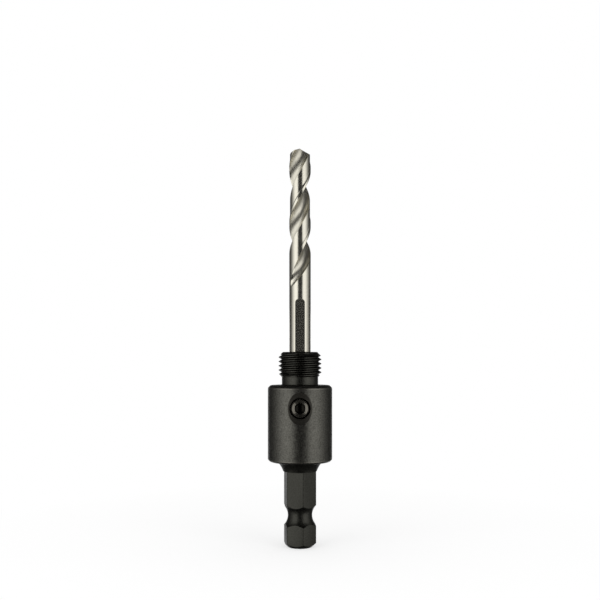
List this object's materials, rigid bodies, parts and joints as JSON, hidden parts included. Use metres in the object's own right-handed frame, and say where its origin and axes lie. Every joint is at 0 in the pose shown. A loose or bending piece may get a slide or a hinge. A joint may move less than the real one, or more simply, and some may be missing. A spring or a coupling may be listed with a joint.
{
  "type": "hole saw arbor",
  "caption": "Hex-shank arbor with a round body, a threaded nose for a hole saw and a twist drill held by a socket set screw.",
  "frame": {"origin": "centre of the hex shank's end face, which the part stands on", "axes": "+Z along the common axis from the shank's end to the drill's point; -Y the way the clamping screw faces"},
  "size_m": [0.019, 0.019, 0.1177],
  "materials": {
    "black_oxide_steel": "black oxide, satin, faint turning marks",
    "ground_high_speed_steel": "bright ground high-speed steel",
    "black_alloy_steel": "black oxide, oiled"
  },
  "bodies": {
    "arbor": {"arbor": "black_oxide_steel"},
    "pilot_bit": {"pilot_bit": "ground_high_speed_steel"},
    "set_screw": {"set_screw": "black_alloy_steel"}
  },
  "joints": [
    {"name": "pilot_bit_slide", "type": "slide", "parent": "arbor", "child": "pilot_bit", "axis": [0, 0, 1], "range_m": [0, 0.02]},
    {"name": "set_screw_travel", "type": "slide", "parent": "arbor", "child": "set_screw", "axis": [0, -1, 0], "range_m": [0, 0.0017]}
  ]
}
